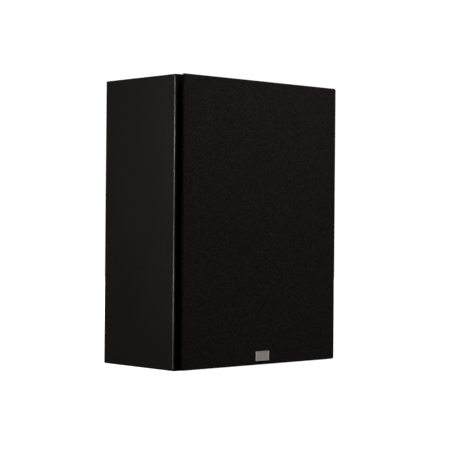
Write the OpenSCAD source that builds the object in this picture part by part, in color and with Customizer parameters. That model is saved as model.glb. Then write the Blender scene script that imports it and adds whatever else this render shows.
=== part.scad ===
// Sealed two-way bookshelf loudspeaker with a removable cloth grille.
// Millimetres. The origin is the centre of the base, Z is up and the front faces -Y.

/* [Cabinet] */
// outer width
cab_w = 262; // [250:1:280]
// outer depth of the wooden box, without the grille
cab_d = 134; // [128:1:170]
// outer height
cab_h = 350; // [340:1:370]
// thickness of the side, top and bottom panels
wall_t = 16; // [12:1:18]
// thickness of the front baffle
baffle_t = 18; // [16:1:19]
// thickness of the back panel
back_t = 15; // [12:1:18]
// radius of the outer edges
edge_r = 2.5; // [1:0.5:4]
// thickness of the shelf brace
brace_t = 12; // [9:1:15]
// thickness of the wadding pads
wadding_t = 18; // [10:1:22]

/* [Grille] */
// how far the cloth face stands in front of the baffle
grille_out = 13; // [12.5:0.5:16]
// width over the cloth
grille_w = 260; // [246:1:260]
// height over the cloth
grille_h = 348; // [336:1:348]
// height of the grille's lower edge above the base
grille_low = 1.5; // [1:0.5:3]
// thickness of the cloth
cloth_t = 0.8; // [0.6:0.1:1]
// depth of the front layer, over the cloth
layer_t = 5.6; // [5:0.1:6]
// depth of the straight edge before the rear chamfer, over the cloth
edge_side = 2.6; // [2.4:0.1:3]
// set-back of the rear rim that makes the shadow gap
rim_in = 12; // [10:1:14]
// width of the side rails
rail_side = 30; // [28:1:34]
// width of the top and bottom rails
rail_end = 26; // [24:1:28]
// radius of the grille's front edges
soft_r = 2; // [1.6:0.1:2.2]
// radius of the grille's corners
corner_r = 2.5; // [2:0.1:4]
// distance of the pegs from the centre line
peg_x = 106; // [104:0.5:107]
// radius of the pegs
peg_r = 3.7; // [3.4:0.1:3.7]
// badge width
badge_w = 22.2; // [20:0.1:26]
// badge height
badge_h = 11.8; // [11:0.1:14]
// badge thickness
badge_t = 1.2; // [1:0.1:1.5]

/* [Woofer] */
// height of the woofer's centre
woofer_z = 131; // [128:1:132]
// radius of the basket flange
flange_r = 83; // [81:1:83]
// flange thickness, equal to the depth of its rebate
flange_t = 4; // [4:0.5:5]
// radius of the screw circle
woofer_pcr = 78; // [77:0.5:78.5]
// radius of the surround's half roll
roll_r = 5; // [4.5:0.1:5]
// depth of the cone
cone_depth = 23; // [20:0.5:24]
// radius of the ferrite magnet
magnet_r = 45; // [40:1:50]
// length of the ferrite magnet
magnet_l = 16; // [14:1:20]

/* [Tweeter] */
// height of the tweeter's centre
tweeter_z = 270; // [269:1:272]
// radius of the faceplate
face_r = 52; // [50:1:52]
// radius of the screw circle
tweeter_pcr = 47; // [45:0.5:47]
// height of the dome
dome_h = 4; // [3.4:0.1:4.2]

/* [Terminals] */
// height of the terminal cup's centre
cup_z = 95; // [90:1:110]
// depth of the cup
cup_depth = 24; // [24:1:26]
// distance between the two binding posts
post_gap = 19; // [19:0.5:22]
// radius of the threaded core
core_r = 3; // [3:0.1:3.2]
// radius of the plug socket in each core
socket_r = 2; // [1.9:0.05:2.1]
// radius of the clamping knobs
knob_r = 7.6; // [7:0.1:7.8]

/* [Hidden] */
$fn = 96;
e = 0.01;

// the row is centred in depth over the badge, the grille and the box
total_d = cab_d + grille_out + badge_t;
cab_front = -total_d / 2 + badge_t + grille_out;
cab_back = total_d / 2;
baffle_back = cab_front + baffle_t;
back_front = cab_back - back_t;
in_w = cab_w - 2 * wall_t;
in_h = cab_h - 2 * wall_t;
cloth_front = cab_front - grille_out;
board_front = cloth_front + cloth_t;
layer_back = cloth_front + layer_t;
chamfer = layer_t - edge_side;
// the cloth is as thick across the chamfer as elsewhere
board_side = edge_side - cloth_t - cloth_t * (sqrt(2) - 1);
grille_z = grille_low + grille_h / 2;
peg_rows = [30, grille_z, 321];
brace_z = 214;

// woofer stations, measured along its axis from the baffle's front
land_d = 2.2;
lip_t = 0.8;
roll_mid = 60.4;
rim_r = 55.8;
cone_r = 51;
neck_r = 15.9;
cone_t = 0.9;
cone_steps = 10;
ledge_d = 34.5;
plate_d = 48;
plate_t = 5;
magnet_d = plate_d + plate_t;
yoke_d = magnet_d + magnet_l;
coil_in = 15.5;
coil_out = 16.5;

// tweeter stations
face_t = 4;
spider_in = neck_r + 0.1;
tw_plate_d = 6;
tw_magnet_d = 10;
tw_yoke_d = 22;
tw_cup_d = 26;

// terminal stations
floor_y = cab_back - cup_depth;
inside_y = floor_y - 2.5;
cup_flange_t = 2.5;
gasket_t = 0.8;
bushing = 2;
washer_t = 1;
knob_l = 14;
core_l = 20;
board_z = wall_t + 6;
board_top = board_z + 1.6;

// colours, only for looking at the model
black_paint = [0.10, 0.10, 0.10];
bare_board = [0.62, 0.50, 0.36];
steel = [0.60, 0.61, 0.62];
ferrite = [0.22, 0.22, 0.23];
black_part = [0.07, 0.07, 0.075];
brass = [0.80, 0.64, 0.33];
copper = [0.72, 0.40, 0.22];
red_part = [0.65, 0.05, 0.05];

// ---------- shared shapes ----------

// a rectangle with round corners, from squares and circles
module soft_square(w, h, r) {
    square([w - 2 * r, h], center = true);
    square([w, h - 2 * r], center = true);
    for (x = [-1, 1], y = [-1, 1])
        translate([x * (w / 2 - r), y * (h / 2 - r)])
            circle(r = r);
}

// a block with round edges, centred in X, standing on z = 0 and starting at y = 0
module soft_block(w, d, h, r) {
    intersection() {
        translate([0, d / 2, 0])
            linear_extrude(height = h)
                soft_square(w, d, r);
        translate([0, d, h / 2])
            rotate([90, 0, 0])
                linear_extrude(height = d)
                    soft_square(w, h, r);
        translate([-w / 2, d / 2, h / 2])
            rotate([90, 0, 90])
                linear_extrude(height = w)
                    soft_square(d, h, r);
    }
}

// a plate with round corners in the X-Z plane, from y = y0 to y = y0 + t
module soft_plate(w, h, r, y0, t, z) {
    translate([0, y0 + t, z])
        rotate([90, 0, 0])
            linear_extrude(height = t)
                soft_square(w, h, r);
}

// driver axis: local Z runs back into the box, local Y points down
module at_woofer() {
    translate([0, cab_front, woofer_z])
        rotate([-90, 0, 0])
            children();
}

module at_tweeter() {
    translate([0, cab_front, tweeter_z])
        rotate([-90, 0, 0])
            children();
}

// local Z runs out of the back of the box, zero on the cup's floor
module at_post(side) {
    translate([side * post_gap / 2, floor_y, cup_z])
        rotate([-90, 0, 0])
            children();
}

module ring(r1, r2, d1, d2) {
    translate([0, 0, d1])
        difference() {
            cylinder(r = r2, h = d2 - d1);
            translate([0, 0, -1])
                cylinder(r = r1, h = d2 - d1 + 2);
        }
}

// half roll of a surround, bulging towards the front
module half_roll(mid, r, t, base) {
    translate([mid, base])
        intersection() {
            difference() {
                circle(r = r);
                circle(r = r - t);
            }
            translate([-r - 1, -r - 1])
                square([2 * r + 2, r + 1]);
        }
}

// countersunk screw with a cross recess, head face at zero, pointing along +Z
module screw(head_r, shank_r, head_h, l) {
    difference() {
        union() {
            cylinder(r1 = head_r, r2 = shank_r, h = head_h);
            cylinder(r = shank_r, h = l - 2);
            translate([0, 0, l - 2])
                cylinder(r1 = shank_r, r2 = 0.4, h = 2);
        }
        for (a = [0, 90])
            rotate([0, 0, a])
                translate([-head_r * 0.55, -head_r * 0.12, -1])
                    cube([head_r * 1.1, head_r * 0.24, 1 + head_h * 0.6]);
    }
}

// the hole that such a screw fills
module screw_hole(head_r, shank_r, head_h, l) {
    cylinder(r1 = head_r, r2 = shank_r, h = head_h);
    translate([0, 0, -1])
        cylinder(r = head_r, h = 1 + e);
    cylinder(r = shank_r, h = l - 2);
    translate([0, 0, l - 2])
        cylinder(r1 = shank_r, r2 = 0.4, h = 2);
}

// a round lead through given points, smoothed, with eight sides
function spline(a, b, c, d, t) = 0.5 * (2 * b + (c - a) * t + (2 * a - 5 * b + 4 * c - d) * t * t
    + (3 * b - a - 3 * c + d) * t * t * t);
function clampi(i, n) = max(0, min(n - 1, i));
function smooth(p, k) = [
    for (i = [0 : len(p) - 2], j = [0 : k - 1])
        spline(p[clampi(i - 1, len(p))], p[i], p[i + 1], p[clampi(i + 2, len(p))], j / k),
    p[len(p) - 1]
];
function unit(v) = v / norm(v);
function heading(q, i) = unit(q[min(i + 1, len(q) - 1)] - q[max(i - 1, 0)]);

module lead(p, r) {
    q = smooth(p, 4);
    n = len(q);
    s = 8;
    pts = [
        for (i = [0 : n - 1])
            let (t = heading(q, i), u = unit(cross(t, [0.31, 0.87, 0.13])), v = cross(t, u))
                for (k = [0 : s - 1])
                    q[i] + r * (cos(360 * k / s) * u + sin(360 * k / s) * v)
    ];
    sides = [
        for (i = [0 : n - 2], k = [0 : s - 1])
            [i * s + k, (i + 1) * s + k, (i + 1) * s + (k + 1) % s, i * s + (k + 1) % s]
    ];
    first = [for (k = [0 : s - 1]) k];
    last = [for (k = [s - 1 : -1 : 0]) (n - 1) * s + k];
    polyhedron(points = pts, faces = concat(sides, [first], [last]));
}

// ---------- cabinet ----------

module cabinet_shell() {
    translate([0, cab_front, 0])
        soft_block(cab_w, cab_d, cab_h, edge_r);
}

// a slice of the shell, cut by the outline of one mitred panel seen from the front
module mitred(outline) {
    intersection() {
        cabinet_shell();
        translate([0, cab_back + 1, 0])
            rotate([90, 0, 0])
                linear_extrude(height = cab_d + 2)
                    polygon(outline);
    }
}

module side_panel(side) {
    w = cab_w / 2;
    mitred([
        [side * (w + 1), -1],
        [side * (w - wall_t), wall_t],
        [side * (w - wall_t), cab_h - wall_t],
        [side * (w + 1), cab_h + 1]
    ]);
}

module side_panel_left() {
    color(black_paint) side_panel(-1);
}

module side_panel_right() {
    color(black_paint) side_panel(1);
}

module top_panel() {
    w = cab_w / 2;
    color(black_paint)
        mitred([
            [-w - 1, cab_h + 1],
            [w + 1, cab_h + 1],
            [w - wall_t, cab_h - wall_t],
            [-w + wall_t, cab_h - wall_t]
        ]);
}

module bottom_panel() {
    w = cab_w / 2;
    color(black_paint)
        difference() {
            mitred([
                [-w - 1, -1],
                [w + 1, -1],
                [w - wall_t, wall_t],
                [-w + wall_t, wall_t]
            ]);
            crossover_screw_places()
                screw_hole(3, 1.5, 1.6, 16);
        }
}

module front_baffle() {
    color(black_part)
        difference() {
            translate([-in_w / 2, cab_front, wall_t])
                cube([in_w, baffle_t, in_h]);
            at_woofer() {
                translate([0, 0, -1])
                    cylinder(r = flange_r + 0.4, h = flange_t + 1);
                cylinder(r = 73, h = baffle_t + 1);
                woofer_screw_places()
                    screw_hole(3.9, 1.9, 2.2, 16);
            }
            at_tweeter() {
                translate([0, 0, -1])
                    cylinder(r = face_r + 0.4, h = face_t + 1);
                cylinder(r = 38, h = baffle_t + 1);
                tweeter_screw_places()
                    screw_hole(3.2, 1.6, 1.8, 15);
            }
            peg_places()
                union() {
                    translate([0, 0, -1])
                        cylinder(r = 6.5, h = 1.8);
                    cylinder(r = 5.5, h = 12);
                }
        }
}

module back_panel() {
    color(black_paint)
        difference() {
            translate([-in_w / 2, back_front, wall_t])
                cube([in_w, back_t, in_h]);
            soft_plate(84.6, 64.6, 6.3, cab_back - cup_flange_t - gasket_t, 10, cup_z);
            soft_plate(68, 48, 5, back_front - 1, back_t + 2, cup_z);
            terminal_screw_places()
                screw_hole(3, 1.5, 1.6, 14);
        }
}

module cabinet_brace() {
    color(bare_board)
        difference() {
            translate([-in_w / 2, baffle_back, brace_z])
                cube([in_w, back_front - baffle_back, brace_t]);
            translate([0, (baffle_back + back_front) / 2, brace_z - 1])
                linear_extrude(height = brace_t + 2)
                    soft_square(160, 60, 12);
        }
}

module wadding(side) {
    translate([side * (in_w / 2 - wadding_t / 2) - wadding_t / 2, baffle_back + 6, 40])
        cube([wadding_t, back_front - baffle_back - 11, 160]);
}

module wadding_left() {
    color([0.85, 0.85, 0.82]) wadding(-1);
}

module wadding_right() {
    color([0.85, 0.85, 0.82]) wadding(1);
}

// ---------- woofer ----------

module woofer_screw_places() {
    for (i = [0 : 5])
        rotate([0, 0, 60 * i + 30])
            translate([woofer_pcr, 0, 0])
                children();
}

// windows in the basket, each a sector between two legs
module basket_windows(r1, r2, d1, d2) {
    for (i = [0 : 5])
        rotate([0, 0, 60 * i + 39])
            rotate_extrude(angle = 42)
                translate([r1, d1])
                    square([r2 - r1, d2 - d1]);
}

module woofer_basket() {
    color(black_part)
        at_woofer()
            difference() {
                union() {
                    rotate_extrude()
                        polygon([
                            [72, 0], [flange_r - 0.8, 0], [flange_r, 0.8], [flange_r, flange_t],
                            [71.8, flange_t], [70.5, 8], [55, 36], [46.5, plate_d],
                            [20, plate_d], [20, plate_d - 2], [45, plate_d - 2], [52.2, 36.5],
                            [41, 36.5], [41, ledge_d], [53.6, ledge_d], [68.8, 7.2],
                            [69.6, 4.2], [65, 4.2], [65, land_d], [72, land_d]
                        ]);
                    translate([-8, 53, ledge_d])
                        cube([16, 15, 2]);
                }
                woofer_screw_places()
                    screw_hole(3.9, 1.9, 2.2, 16);
                basket_windows(50, 75, 11, 31);
                basket_windows(42, 58, 38.5, 44.5);
            }
}

module woofer_trim_ring() {
    color(black_part)
        at_woofer()
            rotate_extrude()
                polygon([
                    [65.8, land_d - lip_t], [65.8, -0.2], [66.4, -0.6],
                    [71.4, -0.6], [72, 0], [72, land_d - lip_t]
                ]);
}

module woofer_top_plate() {
    color(steel) at_woofer() ring(17.2, 42.5, plate_d, magnet_d);
}

module woofer_magnet() {
    color(ferrite) at_woofer() ring(24, magnet_r, magnet_d, yoke_d);
}

module woofer_pole_plate() {
    color(steel)
        at_woofer()
            rotate_extrude()
                polygon([
                    [4, plate_d], [14.1, plate_d], [14.9, plate_d + 0.8], [14.9, yoke_d],
                    [42.5, yoke_d], [42.5, yoke_d + 4], [41.5, yoke_d + 5], [4, yoke_d + 5]
                ]);
}

module woofer_terminal_strip() {
    color([0.55, 0.40, 0.22])
        at_woofer()
            difference() {
                translate([-16, 55, ledge_d + 2])
                    cube([32, 13, 1.6]);
                for (s = [-1, 1])
                    translate([s * 11.5, 62, ledge_d])
                        cylinder(r = 1.2, h = 6);
            }
}

module woofer_tabs() {
    color(brass)
        at_woofer()
            for (s = [-1, 1]) {
                translate([s * 11.5 - 2.4, 59, ledge_d + 3.6])
                    cube([4.8, 17, 0.8]);
                translate([s * 11.5, 62, ledge_d + 1.2])
                    cylinder(r = 1.2, h = 3.2);
                translate([s * 11.5, 62, ledge_d + 1.2])
                    cylinder(r = 2, h = 0.8);
            }
}

module woofer_screws() {
    color(black_part)
        at_woofer()
            woofer_screw_places()
                screw(3.9, 1.9, 2.2, 16);
}

// half-roll rubber surround, glued to the basket's land and to the cone's rim
module woofer_surround() {
    color([0.05, 0.05, 0.05])
        at_woofer()
            rotate_extrude() {
                half_roll(roll_mid, roll_r, lip_t, land_d);
                translate([roll_mid + roll_r - 0.8, land_d - lip_t])
                    square([72 - roll_mid - roll_r + 0.8, lip_t]);
                translate([cone_r, land_d - lip_t])
                    square([roll_mid - roll_r + 0.8 - cone_r, lip_t]);
            }
}

function ripple(r) = ledge_d - 0.75 + 1.1 * sin(360 * 5 * (r - 18) / 23);

module woofer_spider() {
    edge = [for (i = [0 : 40]) 18 + 23 * i / 40];
    color([0.72, 0.62, 0.40])
        at_woofer()
            rotate_extrude()
                polygon(concat(
                    [[spider_in, ledge_d - 1]],
                    [for (i = [0 : 40]) [edge[i], ripple(edge[i]) - 0.25]],
                    [[42, ledge_d - 0.5], [46, ledge_d - 0.5], [46, ledge_d], [41.6, ledge_d]],
                    [for (i = [40 : -1 : 0]) [edge[i], ripple(edge[i]) + 0.25]],
                    [[spider_in, ledge_d - 0.5]]
                ));
}

// cone profile, straight between its steps
function cone_at(i) = land_d + cone_depth * (0.75 * i / cone_steps + 0.25 * pow(i / cone_steps, 2));
function cone_radius(i) = cone_r - (cone_r - neck_r) * i / cone_steps;
slope_9 = (cone_at(9) - cone_at(8)) / (cone_radius(8) - cone_radius(9));
function cone_line(r) = cone_at(9) - (r - cone_radius(9)) * slope_9;

module woofer_cone() {
    color([0.09, 0.09, 0.095])
        at_woofer() {
            rotate_extrude()
                polygon(concat(
                    [[rim_r, land_d + cone_t], [rim_r, land_d]],
                    [for (i = [0 : cone_steps]) [cone_radius(i), cone_at(i)]],
                    [for (i = [cone_steps : -1 : 0]) [cone_radius(i), cone_at(i) + cone_t]]
                ));
            for (s = [-1, 1])
                translate([s * 14, 26, land_d + cone_depth * 0.59])
                    cylinder(r = 1.2, h = 2.2);
        }
}

module woofer_dust_cap() {
    edge_at = cone_line(20.2) - 0.3;
    rise = 7.5;
    ball = (20.2 * 20.2 + rise * rise) / (2 * rise);
    color([0.07, 0.07, 0.07])
        at_woofer()
            rotate_extrude() {
                intersection() {
                    translate([0, edge_at - rise + ball])
                        difference() {
                            circle(r = ball);
                            circle(r = ball - 0.6);
                        }
                    translate([0, edge_at - rise - 1])
                        square([30, rise + 1]);
                }
                polygon([
                    [cone_radius(9), cone_at(9) - 0.6], [22, cone_line(22) - 0.6],
                    [22, cone_line(22)], [cone_radius(9), cone_at(9)]
                ]);
            }
}

module woofer_coil_former() {
    color([0.78, 0.70, 0.45]) at_woofer() ring(coil_in, neck_r, cone_depth + 1, 56);
}

module woofer_voice_coil() {
    color(copper) at_woofer() ring(neck_r, coil_out, 45.5, 55.5);
}

// tinsel leads, slack behind the cone
module woofer_tinsel_leads() {
    start = land_d + cone_depth * 0.59 + 2.7;
    color(copper)
        at_woofer()
            for (s = [-1, 1])
                lead([
                    [s * 14, 26, start], [s * 14, 26, start + 2], [s * 14.5, 31, 25],
                    [s * 15, 40, 29], [s * 15, 50, 28.5], [s * 14.5, 58, 28.5],
                    [s * 12.5, 61.5, 31], [s * 11.5, 62, 33], [s * 11.5, 62, ledge_d + 1.2]
                ], 0.6);
}

// ---------- tweeter ----------

module tweeter_screw_places() {
    for (i = [0 : 3])
        rotate([0, 0, 90 * i + 45])
            translate([tweeter_pcr, 0, 0])
                children();
}

module tweeter_faceplate() {
    color(black_part)
        at_tweeter()
            difference() {
                rotate_extrude()
                    polygon([
                        [face_r - 0.8, 0], [face_r, 0.8], [face_r, face_t], [18.2, face_t],
                        [18.4, 3.4], [21, 2.6], [26, 1.6], [32, 0.8], [38, 0.3], [42, 0]
                    ]);
                tweeter_screw_places()
                    screw_hole(3.2, 1.6, 1.8, 15);
            }
}

module tweeter_spacer() {
    color(black_part)
        at_tweeter()
            rotate_extrude()
                polygon([
                    [17.8, 4.3], [21, 4.3], [21, 4], [36, 4], [36, tw_plate_d], [17.8, tw_plate_d]
                ]);
}

module tweeter_top_plate() {
    color(steel) at_tweeter() ring(13.5, 36, tw_plate_d, tw_magnet_d);
}

module tweeter_magnet() {
    color(ferrite) at_tweeter() ring(18, 36, tw_magnet_d, tw_yoke_d);
}

module tweeter_pole_plate() {
    color(steel)
        at_tweeter()
            rotate_extrude()
                polygon([
                    [3, tw_plate_d], [12.1, tw_plate_d], [12.1, tw_yoke_d],
                    [34, tw_yoke_d], [34, tw_cup_d], [3, tw_cup_d]
                ]);
}

module tweeter_rear_chamber() {
    color(black_part)
        at_tweeter()
            rotate_extrude()
                polygon([
                    [22, tw_cup_d], [22, 42], [20, 44], [0, 44], [0, 42],
                    [19, 42], [20, 41], [20, tw_cup_d]
                ]);
}

module tweeter_terminal_block() {
    color([0.55, 0.40, 0.22])
        at_tweeter()
            translate([-10, 24, tw_cup_d])
                cube([20, 7, 3]);
}

module tweeter_tabs() {
    color(brass)
        at_tweeter()
            for (s = [-1, 1])
                translate([s * 6 - 1.4, 27.1, tw_cup_d + 3])
                    cube([2.8, 0.8, 8]);
}

module tweeter_screws() {
    color(black_part)
        at_tweeter()
            tweeter_screw_places()
                screw(3.2, 1.6, 1.8, 15);
}

module tweeter_surround() {
    color([0.06, 0.06, 0.06])
        at_tweeter()
            rotate_extrude() {
                half_roll(15.7, 1.9, 0.3, 4.3);
                translate([17.3, 4])
                    square([3.7, 0.3]);
                translate([12.9, 4])
                    square([1.2, 0.3]);
            }
}

module tweeter_dome() {
    ball = (12.9 * 12.9 + dome_h * dome_h) / (2 * dome_h);
    color([0.08, 0.08, 0.085])
        at_tweeter()
            rotate_extrude() {
                intersection() {
                    translate([0, 4.6 - dome_h + ball])
                        difference() {
                            circle(r = ball);
                            circle(r = ball - 0.3);
                        }
                    translate([0, 4.5 - dome_h])
                        square([12.9, dome_h + 0.1]);
                }
                translate([12.4, 4.3])
                    square([1.5, 0.3]);
            }
}

module tweeter_voice_coil() {
    color(copper)
        at_tweeter() {
            ring(12.5, 12.8, 4.6, 11);
            ring(12.75, 13.1, 6.2, 9.8);
        }
}

// ---------- crossover and leads ----------

module crossover_screw_places() {
    for (x = [-54, 54], y = [-19, 44])
        translate([x, y, board_top])
            rotate([180, 0, 0])
                children();
}

module crossover_board() {
    color([0.55, 0.47, 0.28])
        difference() {
            translate([-60, -25, board_z])
                cube([120, 75, 1.6]);
            crossover_screw_places()
                screw_hole(3, 1.5, 1.6, 16);
        }
}

module crossover_standoffs() {
    color([0.88, 0.88, 0.85])
        for (x = [-54, 54], y = [-19, 44])
            translate([x, y, 0])
                ring(1.5, 3.5, wall_t, board_z);
}

module crossover_screws() {
    color(steel)
        crossover_screw_places()
            screw(3, 1.5, 1.6, 16);
}

// centre, radius and height of the two air-core inductors
coils = [[-30, 20, 22, 24], [36, -9, 14, 18]];

module inductor_bobbins() {
    color([0.12, 0.12, 0.13])
        for (c = coils)
            translate([c[0], c[1], board_top])
                rotate_extrude()
                    polygon([
                        [5, 0], [c[2], 0], [c[2], 1.5], [8, 1.5],
                        [8, c[3] - 1.5], [c[2], c[3] - 1.5], [c[2], c[3]], [5, c[3]]
                    ]);
}

module inductor_coils() {
    color(copper)
        for (c = coils)
            translate([c[0], c[1], board_top])
                ring(8, c[2] - 2, 1.5, c[3] - 1.5);
}

module film_capacitors() {
    color([0.86, 0.74, 0.20]) {
        translate([5, 35, board_top + 8.5])
            rotate([0, 90, 0])
                cylinder(r = 8.5, h = 40);
        translate([8, 15, board_top + 7])
            rotate([0, 90, 0])
                cylinder(r = 7, h = 34);
    }
}

module power_resistors() {
    color([0.90, 0.88, 0.82])
        for (y = [-18, -7])
            translate([-52, y - 4.5, board_top])
                cube([46, 9, 9]);
}

tab_y = cab_front + ledge_d + 4.4;
tweeter_tab_y = cab_front + tw_cup_d + 11;

module red_leads() {
    color(red_part) {
        lead([
            [9.5, 45.6, 82], [9.5, 45.4, 78], [12, 42, 66], [17, 43, 54],
            [22, 47, 42], [24, 48, 32], [24, 48, board_top]
        ], 1);
        lead([
            [11.5, tab_y + 1.1, 63], [11.5, tab_y + 1.4, 56], [11, -16, 46],
            [10, -17, 36], [10, -20, 29], [10, -20, board_top]
        ], 1);
        lead([
            [54, 10, board_top], [54, 10, 34], [64, 12, 60], [70, 15, 110], [66, 18, 160],
            [57, 20, 205], [50, 18, 232], [34, 6, 238], [16, -10, 242],
            [7, tweeter_tab_y + 4, 242], [6, tweeter_tab_y + 0.2, 242]
        ], 1);
    }
}

module black_leads() {
    color(black_part) {
        lead([
            [-9.5, 45.6, 82], [-9.5, 45.4, 78], [-7, 41, 66], [-4, 44, 54],
            [0, 47, 42], [0, 48, 32], [0, 48, board_top]
        ], 1);
        lead([
            [-11.5, tab_y + 1.1, 63], [-11.5, tab_y + 1.4, 56], [-6, -15, 46],
            [1, -16, 36], [2, -20, 29], [2, -20, board_top]
        ], 1);
        lead([
            [54, 26, board_top], [54, 26, 34], [61, 24, 60], [66, 22, 110], [62, 24, 160],
            [52, 26, 205], [44, 24, 230], [24, 10, 236], [2, -8, 240],
            [-5, tweeter_tab_y + 4, 242], [-6, tweeter_tab_y + 0.2, 242]
        ], 1);
    }
}

// ---------- terminals ----------

module terminal_screw_places() {
    for (x = [-37.5, 37.5], z = [-27.5, 27.5])
        translate([x, cab_back, cup_z + z])
            rotate([90, 0, 0])
                children();
}

module terminal_cup() {
    color(black_part)
        difference() {
            union() {
                soft_plate(84, 64, 6, cab_back - cup_flange_t, cup_flange_t, cup_z);
                soft_plate(66, 46, 5, inside_y, cab_back - inside_y, cup_z);
            }
            soft_plate(62, 42, 3, floor_y, cup_depth + 1, cup_z);
            for (s = [-1, 1])
                at_post(s)
                    translate([0, 0, -4])
                        cylinder(r = 2, h = 6);
            terminal_screw_places()
                screw_hole(3, 1.5, 1.6, 14);
        }
}

module terminal_gasket() {
    y0 = cab_back - cup_flange_t - gasket_t;
    color([0.2, 0.2, 0.2])
        difference() {
            soft_plate(82, 62, 5, y0, gasket_t, cup_z);
            soft_plate(68, 48, 5, y0 - 1, gasket_t + 2, cup_z);
            terminal_screw_places()
                screw_hole(3, 1.5, 1.6, 14);
        }
}

module terminal_screws() {
    color(black_part)
        terminal_screw_places()
            screw(3, 1.5, 1.6, 14);
}

// threaded core with a hexagonal collar, a plug socket and a wire hole
module post_cores() {
    color(brass)
        for (s = [-1, 1])
            at_post(s)
                difference() {
                    union() {
                        cylinder(r = 5.5, h = bushing, $fn = 6);
                        cylinder(r = core_r, h = core_l);
                        translate([0, 0, -8.5])
                            cylinder(r = 2, h = 9);
                    }
                    translate([0, 0, core_l - 14])
                        cylinder(r = socket_r, h = 15);
                    translate([0, 6, bushing + 1.6])
                        rotate([90, 0, 0])
                            cylinder(r = 1.25, h = 12);
                }
}

module post_nuts() {
    color(steel)
        for (s = [-1, 1])
            at_post(s)
                difference() {
                    translate([0, 0, -5.9])
                        cylinder(r = 4.2, h = 2.6, $fn = 6);
                    translate([0, 0, -7])
                        cylinder(r = 2, h = 5);
                }
}

module solder_tags() {
    color(brass)
        for (s = [-1, 1])
            at_post(s)
                difference() {
                    translate([0, 0, -3.3])
                        union() {
                            cylinder(r = 4, h = 0.8);
                            translate([-2, 0, 0])
                                cube([4, 17, 0.8]);
                        }
                    translate([0, 0, -5])
                        cylinder(r = 2, h = 5);
                }
}

module washer() {
    ring(core_r + 0.3, 6.4, bushing, bushing + washer_t);
}

// knob with shallow grip flutes round it
module knob() {
    base = bushing + washer_t;
    difference() {
        translate([0, 0, base])
            rotate_extrude()
                polygon([
                    [core_r + 0.3, 0], [knob_r - 0.4, 0], [knob_r, 0.4], [knob_r, knob_l - 1],
                    [knob_r - 1, knob_l], [core_r + 0.3, knob_l]
                ]);
        for (i = [0 : 11])
            rotate([0, 0, 30 * i])
                translate([knob_r + 0.6, 0, base + 2.5])
                    cylinder(r = 1.2, h = knob_l - 2.5 + 1);
    }
}

module post_washer_positive() {
    color(brass) at_post(1) washer();
}

module post_washer_negative() {
    color(brass) at_post(-1) washer();
}

module post_knob_positive() {
    color(red_part) at_post(1) knob();
}

module post_knob_negative() {
    color(black_part) at_post(-1) knob();
}

// ---------- grille ----------

// local Z runs back into the baffle, zero on the baffle's front
module peg_places() {
    for (x = [-peg_x, peg_x], z = peg_rows)
        translate([x, cab_front, z])
            rotate([-90, 0, 0])
                children();
}

module peg_sockets() {
    color(black_part)
        peg_places()
            difference() {
                union() {
                    cylinder(r = 6.5, h = 0.8);
                    cylinder(r = 5.5, h = 12);
                }
                translate([0, 0, -1])
                    cylinder(r = peg_r + 0.3, h = 12);
            }
}

module grille_pegs() {
    color(black_part)
        peg_places() {
            translate([0, 0, -6])
                cylinder(r = peg_r, h = 14);
            translate([0, 0, 8])
                cylinder(r1 = peg_r, r2 = peg_r - 1.2, h = 2);
        }
}

// section through the grille's edges: x across, y back from the front face
module edge_section(w, r, side, cut) {
    front = [for (i = [0:5]) [w / 2 - r + r * sin(18 * i), r - r * cos(18 * i)]];
    back = [[w / 2, side], [w / 2 - cut, side + cut]];
    right = concat(front, back);
    left = [for (i = [len(right) - 1:-1:0]) [-right[i][0], right[i][1]]];
    polygon(concat(right, left));
}

// front layer with that section on all four sides, from the plane y = y0
module front_layer(w, h, r, side, cut, corner, y0) {
    translate([0, y0, grille_z])
        intersection() {
            translate([0, 0, -h / 2])
                linear_extrude(height = h)
                    edge_section(w, r, side, cut);
            translate([w / 2, 0, 0])
                rotate([0, -90, 0])
                    linear_extrude(height = w)
                        edge_section(h, r, side, cut);
            translate([0, side + cut, 0])
                rotate([90, 0, 0])
                    linear_extrude(height = side + cut)
                        soft_square(w, h, corner);
        }
}

// board under the cloth; extra lets it cut right through the cloth's open back
module board_layer(extra) {
    front_layer(grille_w - 2 * cloth_t, grille_h - 2 * cloth_t, soft_r - cloth_t, board_side,
        layer_t - cloth_t - board_side + extra, corner_r - cloth_t, board_front);
}

// board with a chamfered edge, open windows and a stepped-back rear rim
module grille_frame() {
    inner_w = grille_w - 2 * rail_side;
    low = grille_low + rail_end;
    high = grille_low + grille_h - rail_end;
    color(black_part)
        difference() {
            union() {
                board_layer(0);
                soft_plate(grille_w - 2 * rim_in, grille_h - 2 * rim_in, 6, layer_back - e,
                    cab_front - layer_back + e, grille_z);
            }
            soft_window(inner_w, low, brace_z - 6);
            soft_window(inner_w, brace_z + 6, high);
            peg_places()
                translate([0, 0, -6])
                    cylinder(r = peg_r, h = 10);
            badge_places()
                cylinder(r = 0.9, h = 3 + cloth_t);
        }
}

module soft_window(w, z1, z2) {
    soft_plate(w, z2 - z1, 6, cloth_front - 1, grille_out + 2, (z1 + z2) / 2);
}

// stretched cloth over the front, round the board's edges and down the chamfer
module grille_cloth() {
    color([0.05, 0.05, 0.05])
        difference() {
            front_layer(grille_w, grille_h, soft_r, edge_side, chamfer, corner_r, cloth_front);
            board_layer(0.5);
            badge_places()
                cylinder(r = 0.9, h = 3 + cloth_t);
        }
}

module badge_places() {
    for (x = [-7, 7])
        translate([x, cloth_front, 12.4])
            rotate([-90, 0, 0])
                children();
}

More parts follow.
